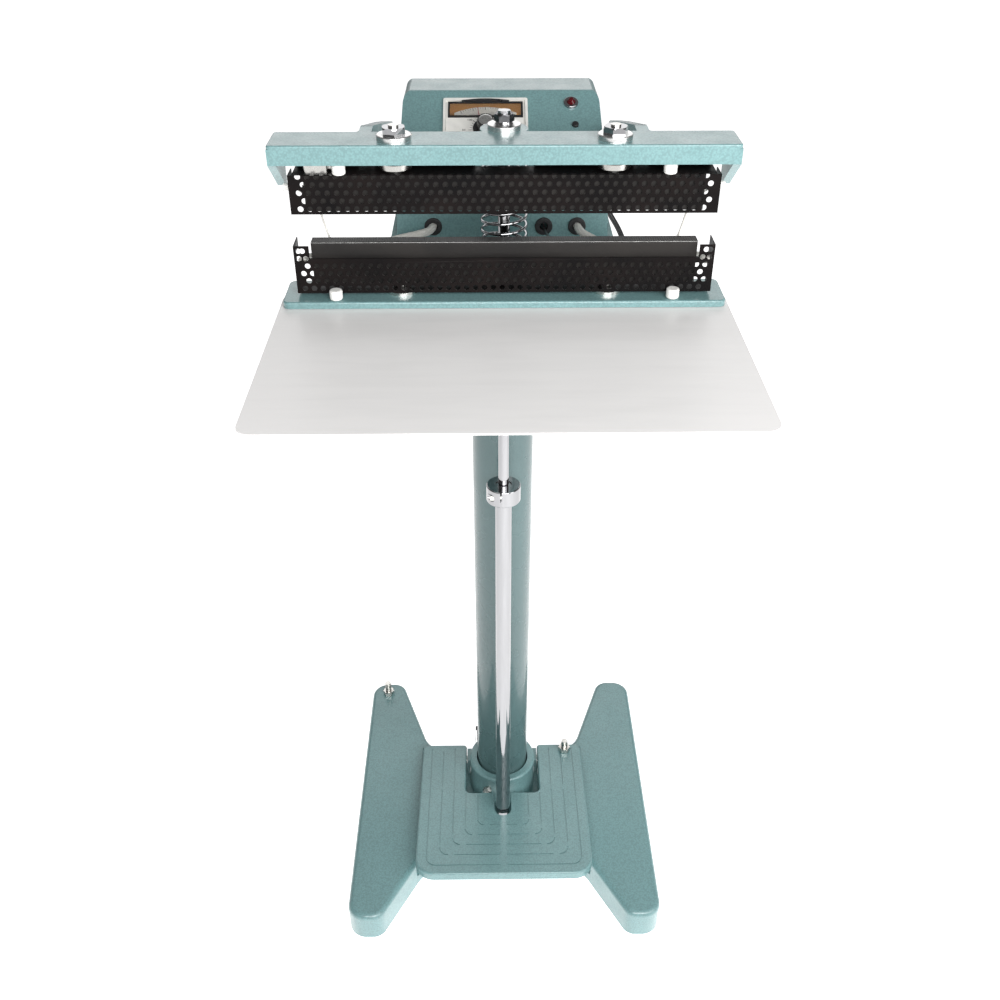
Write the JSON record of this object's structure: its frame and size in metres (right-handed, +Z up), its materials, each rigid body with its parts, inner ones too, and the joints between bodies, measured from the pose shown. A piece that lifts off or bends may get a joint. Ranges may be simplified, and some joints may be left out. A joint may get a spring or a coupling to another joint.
{
  "type": "foot operated heat sealer",
  "caption": "Foot-pedal bag sealer on a column stand, with a hinged heated upper jaw, perforated guards, work table and control box.",
  "frame": {"origin": "on the floor, under the axis of the column", "axes": "+X to the right seen from the front, +Y to the rear, +Z up along the column"},
  "size_m": [0.367, 0.5629, 0.8591],
  "materials": {
    "teal_paint": "hammered enamel, semi-gloss",
    "column_paint": "smooth enamel, semi-gloss",
    "white_paint": "satin powder coat",
    "black_paint": "semi-gloss heat-proof enamel",
    "zinc_steel": "bright zinc",
    "chrome": "polished",
    "aluminium": "turned",
    "black_cloth": "PTFE-coated glass cloth, satin",
    "ceramic": "glazed ceramic",
    "white_plastic": "satin",
    "black_plastic": "satin",
    "black_rubber": "matte",
    "white_braid": "braided glass sleeve",
    "grey_wire": "steel overbraid",
    "red_lens": "faceted, translucent"
  },
  "bodies": {
    "stand": {"leg_left": "teal_paint", "leg_right": "teal_paint", "leg_bolts": "zinc_steel", "column_socket": "teal_paint", "column_lock_screws": "zinc_steel", "column_tube": "column_paint", "levelling_stud": "zinc_steel", "levelling_nut": "zinc_steel", "pedal_pins": "zinc_steel", "head_frame": "teal_paint", "work_table": "white_paint", "pan_screws": "zinc_steel", "lower_heater_block": "aluminium", "lower_heater_rod": "zinc_steel", "lower_cloth": "black_cloth", "lower_guard": "black_paint", "lower_jaw_studs": "zinc_steel", "lower_ceramic_pegs": "ceramic", "return_spring": "chrome", "control_box_shell": "teal_paint", "control_box_back": "teal_paint", "dial_frame": "white_plastic", "dial_face": "white_plastic", "controller_body": "black_plastic", "lamp_bezel": "chrome", "lamp_lens": "red_lens", "grommets": "black_rubber", "terminal_block": "white_plastic", "heater_sleeves": "white_braid", "thermocouple_lead": "grey_wire", "mains_gland": "black_rubber", "mains_cord": "black_rubber", "mains_cord_coil": "black_rubber", "mains_plug": "black_rubber", "cord_clips": "black_plastic", "pivot_bolts": "zinc_steel", "upper_heater_leads": "white_braid"},
    "upper_arm": {"upper_arm": "teal_paint", "rod_disc": "aluminium", "jaw_discs": "aluminium", "jaw_nuts": "chrome", "upper_jaw_studs": "zinc_steel", "upper_heater_block": "aluminium", "upper_heater_rod": "zinc_steel", "upper_guard": "black_paint", "upper_ceramic_pegs": "ceramic", "heat_sensor": "zinc_steel"},
    "pull_rod": {"pull_rod": "chrome", "pull_rod_nut": "chrome", "pull_tube": "chrome", "rod_collar": "chrome", "collar_screw": "zinc_steel"},
    "pedal": {"pedal": "teal_paint", "rod_foot_pin": "zinc_steel", "pedal_stop_stud": "zinc_steel", "pedal_stop_nut": "zinc_steel"},
    "temperature_knob": {"temperature_knob": "black_plastic"},
    "power_button": {"power_button": "black_plastic"}
  },
  "joints": [
    {"name": "arm_hinge", "type": "hinge", "parent": "stand", "child": "upper_arm", "pos_m": [0, 0.17, 0.755], "axis": [1, 0, 0], "range_deg": [0, 6.03], "stiffness_Nm_per_rad": 160, "springref_deg": -6.88, "deforming": ["return_spring", "upper_heater_leads"]},
    {"name": "rod_swing", "type": "hinge", "parent": "upper_arm", "child": "pull_rod", "pos_m": [0, -0.045, 0.8485], "axis": [1, 0, 0], "range_deg": [-5.5, 0]},
    {"name": "pedal_hinge", "type": "hinge", "parent": "stand", "child": "pedal", "pos_m": [0, 0.022, 0.036], "axis": [1, 0, 0], "range_deg": [0, 14.3]},
    {"name": "knob_turn", "type": "hinge", "parent": "stand", "child": "temperature_knob", "pos_m": [-0.0147, 0.09603, 0.80429], "axis": [0, -0.4899, 0.8718], "range_deg": [-140, 140]},
    {"name": "button_press", "type": "slide", "parent": "stand", "child": "power_button", "axis": [0, 0.4899, -0.8718], "range_m": [0, 0.0018], "stiffness_N_per_m": 900, "springref_m": -0.0006}
  ],
  "couplings": [
    {"joint": "rod_swing", "follows": "arm_hinge", "ratio": -0.8872},
    {"joint": "pedal_hinge", "follows": "arm_hinge", "ratio": 2.3614}
  ]
}
